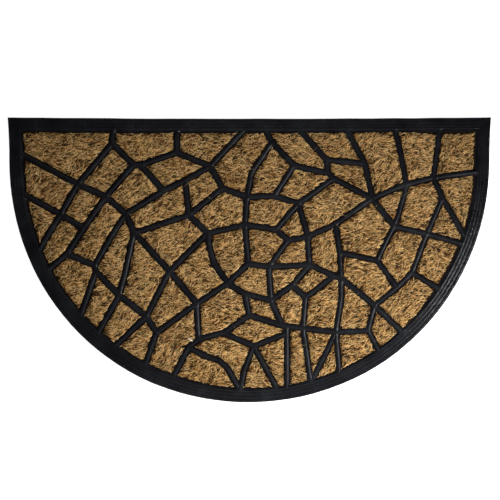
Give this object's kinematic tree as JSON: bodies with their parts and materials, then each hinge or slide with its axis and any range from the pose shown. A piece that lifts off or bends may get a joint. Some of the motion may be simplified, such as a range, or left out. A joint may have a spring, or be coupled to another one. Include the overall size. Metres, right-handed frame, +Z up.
{
  "type": "half-round coir doormat",
  "caption": "Half-round doormat of black moulded rubber with a ridged border and a crazy-paving web of ribs over golden-brown coir pile.",
  "frame": {"origin": "on the underside, under the centre of the mat's bounding rectangle", "axes": "+X along the straight edge, +Y from the round side towards the straight edge, +Z up out of the pile"},
  "size_m": [0.75, 0.4418, 0.009],
  "materials": {
    "rubber": "satin black, moulded",
    "coir": "matte, coarse loose fibre"
  },
  "bodies": {
    "root": {"rubber_moulding": "rubber", "coir_sheet": "coir"}
  },
  "joints": []
}
